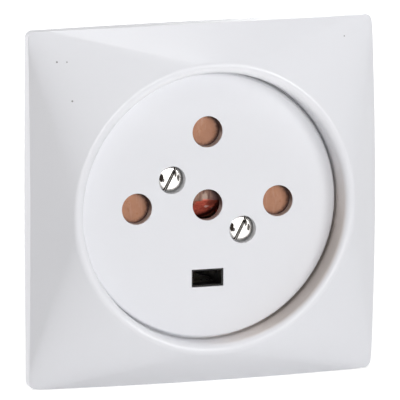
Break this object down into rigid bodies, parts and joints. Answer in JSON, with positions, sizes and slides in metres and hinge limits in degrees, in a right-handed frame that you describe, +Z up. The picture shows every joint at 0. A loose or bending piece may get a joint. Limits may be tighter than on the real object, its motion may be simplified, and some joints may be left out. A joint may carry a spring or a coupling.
{
  "type": "flush wall socket base",
  "caption": "Flush wall socket with round pin holes, a flat earth slot and a sliding safety shutter behind a square cushion-shaped cover plate.",
  "frame": {"origin": "centre of the wall plane, midway between the two wall screws", "axes": "+Z up, front of the socket faces -Y, +X to the right seen from the front, +Y into the wall"},
  "size_m": [0.0804, 0.042, 0.0804],
  "materials": {
    "white_plastic": "moulded, glossy",
    "shutter_plastic": "moulded, satin",
    "black_plastic": "moulded, matt",
    "grey_plastic": "moulded, matt",
    "zinc_steel": "zinc-plated sheet",
    "zinc_screw": "zinc-plated",
    "nickel_screw": "nickel-plated, bright",
    "nickel_brass": "nickel-plated",
    "spring_steel": "drawn",
    "brass": "turned"
  },
  "bodies": {
    "housing": {"cover_plate": "white_plastic", "face_disc": "white_plastic", "return_spring_left": "spring_steel", "return_spring_right": "spring_steel", "base_body": "black_plastic", "rear_cover": "grey_plastic", "yoke": "zinc_steel", "contact_neutral": "brass", "contact_earth": "nickel_brass", "grip_ring_neutral": "spring_steel", "face_screw_upper": "nickel_screw", "face_screw_lower": "nickel_screw", "insert_upper": "brass", "insert_lower": "brass", "yoke_screw_top": "zinc_screw", "yoke_screw_bottom": "zinc_screw", "contact_phase_1": "brass", "grip_ring_phase_1": "spring_steel", "contact_phase_2": "brass", "grip_ring_phase_2": "spring_steel", "contact_phase_3": "brass", "grip_ring_phase_3": "spring_steel", "terminal_screw_phase_1": "zinc_screw", "terminal_screw_phase_2": "zinc_screw", "terminal_screw_phase_3": "zinc_screw", "terminal_screw_neutral": "zinc_screw", "terminal_screw_earth": "zinc_screw", "rear_screw_1": "zinc_screw", "rear_screw_2": "zinc_screw"},
    "shutter_body": {"shutter": "shutter_plastic"}
  },
  "joints": [
    {"name": "shutter_slide", "type": "slide", "parent": "housing", "child": "shutter_body", "axis": [0, 0, 1], "range_m": [0, 0.0075], "stiffness_N_per_m": 150, "springref_m": -0.005, "deforming": ["return_spring_left", "return_spring_right"]}
  ]
}
